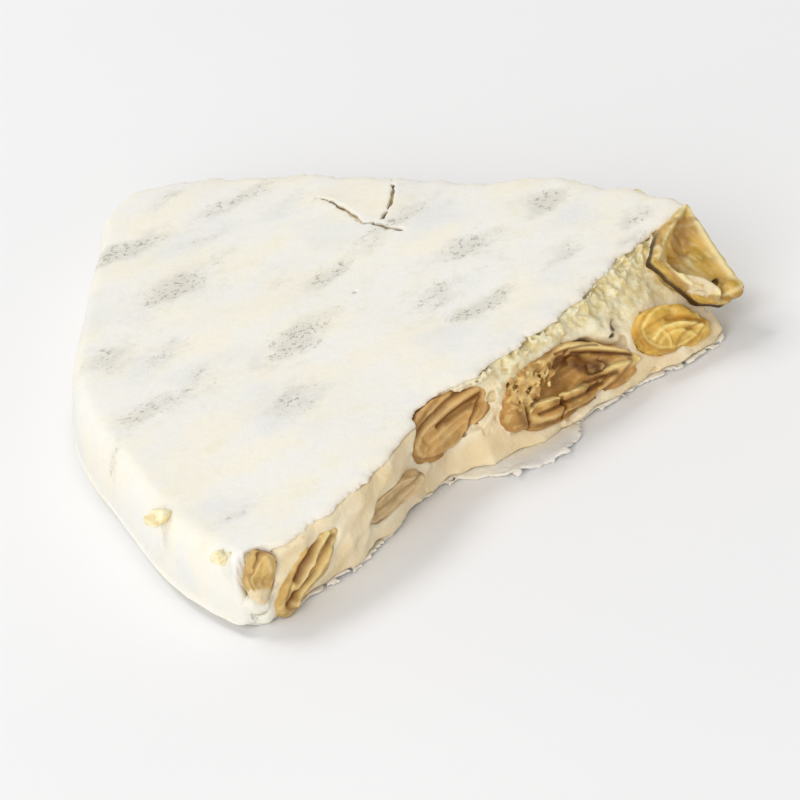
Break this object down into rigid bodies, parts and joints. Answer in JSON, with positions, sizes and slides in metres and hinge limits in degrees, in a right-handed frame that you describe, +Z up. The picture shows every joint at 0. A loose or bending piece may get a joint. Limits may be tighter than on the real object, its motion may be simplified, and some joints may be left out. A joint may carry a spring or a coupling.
{
  "type": "almond nougat shard",
  "caption": "Flat wedge-shaped shard of hard almond nougat between thin wafers: a smooth curved rim, and rough broken sides with whole and split almonds.",
  "frame": {"origin": "middle of the bounding box's bottom, on the plane of the lower wafer's flat underside", "axes": "+Z up through the thickness, +Y along the chord of the curved rim, +X from the rim towards the broken point"},
  "size_m": [0.0802, 0.0958, 0.0142],
  "materials": {
    "wafer": "matte edible wafer, warm white",
    "nougat": "crumbly cream-coloured nougat, slightly translucent",
    "almond": "toasted almond, satin"
  },
  "bodies": {
    "root": {"wafer_bottom": "wafer", "nougat": "nougat", "wafer_top": "wafer", "almond_front_1": "almond", "almond_front_2": "almond", "almond_front_3": "almond", "almond_front_4": "almond", "almond_front_5": "almond", "almond_front_6": "almond", "almond_front_7": "almond", "almond_back_1": "almond", "almond_back_2": "almond", "almond_back_3": "almond", "almond_back_4": "almond", "almond_back_5": "almond"}
  },
  "joints": []
}
